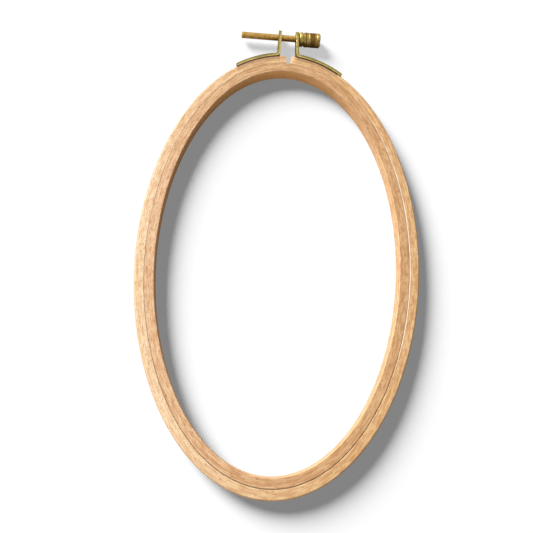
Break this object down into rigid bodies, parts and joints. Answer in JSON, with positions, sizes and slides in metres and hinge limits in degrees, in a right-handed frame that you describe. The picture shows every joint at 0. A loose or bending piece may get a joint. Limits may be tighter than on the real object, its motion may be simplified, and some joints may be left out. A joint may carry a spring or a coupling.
{
  "type": "embroidery hoop",
  "caption": "Oval wooden embroidery hoop: a split outer ring with a brass thumb screw closes on a removable inner ring to hold cloth taut.",
  "frame": {"origin": "centre of the oval, on the face that the hoop rests on", "axes": "+Z through the opening, out of the front face; +Y along the oval towards the screw; +X towards the knob"},
  "size_m": [0.1456, 0.2516, 0.008],
  "materials": {
    "beech_outer": "fine-sanded bare beech with lengthwise grain and short reddish flecks",
    "beech_inner": "fine-sanded bare beech, a little pinker and darker",
    "brass_strip": "dull rolled brass strip with softened edges",
    "brass_pins": "dull brass pins with low domed heads",
    "brass_rod": "rolled brass thread",
    "brass_turned": "turned and knurled brass with bright groove edges"
  },
  "bodies": {
    "hoop": {"outer_ring": "beech_outer", "right_bracket": "brass_strip", "right_pins": "brass_pins"},
    "left_end": {"left_bracket": "brass_strip", "left_pins": "brass_pins"},
    "screw": {"screw_rod": "brass_rod", "thumb_knob": "brass_turned"},
    "inner_ring": {"inner_ring": "beech_inner"}
  },
  "joints": [
    {"name": "screw_turn", "type": "hinge", "parent": "hoop", "child": "screw", "pos_m": [0, 0.1306, 0.004], "axis": [1, 0, 0], "range_deg": [0, 3675]},
    {"name": "ring_open", "type": "slide", "parent": "hoop", "child": "left_end", "axis": [-1, 0, 0], "range_m": [0, 0.00613], "deforming": ["outer_ring"]},
    {"name": "inner_ring_lift", "type": "slide", "parent": "hoop", "child": "inner_ring", "axis": [0, 0, 1], "range_m": [0, 0.02]}
  ],
  "couplings": [
    {"joint": "screw_turn", "follows": "ring_open", "rad_per_m": 10472}
  ]
}
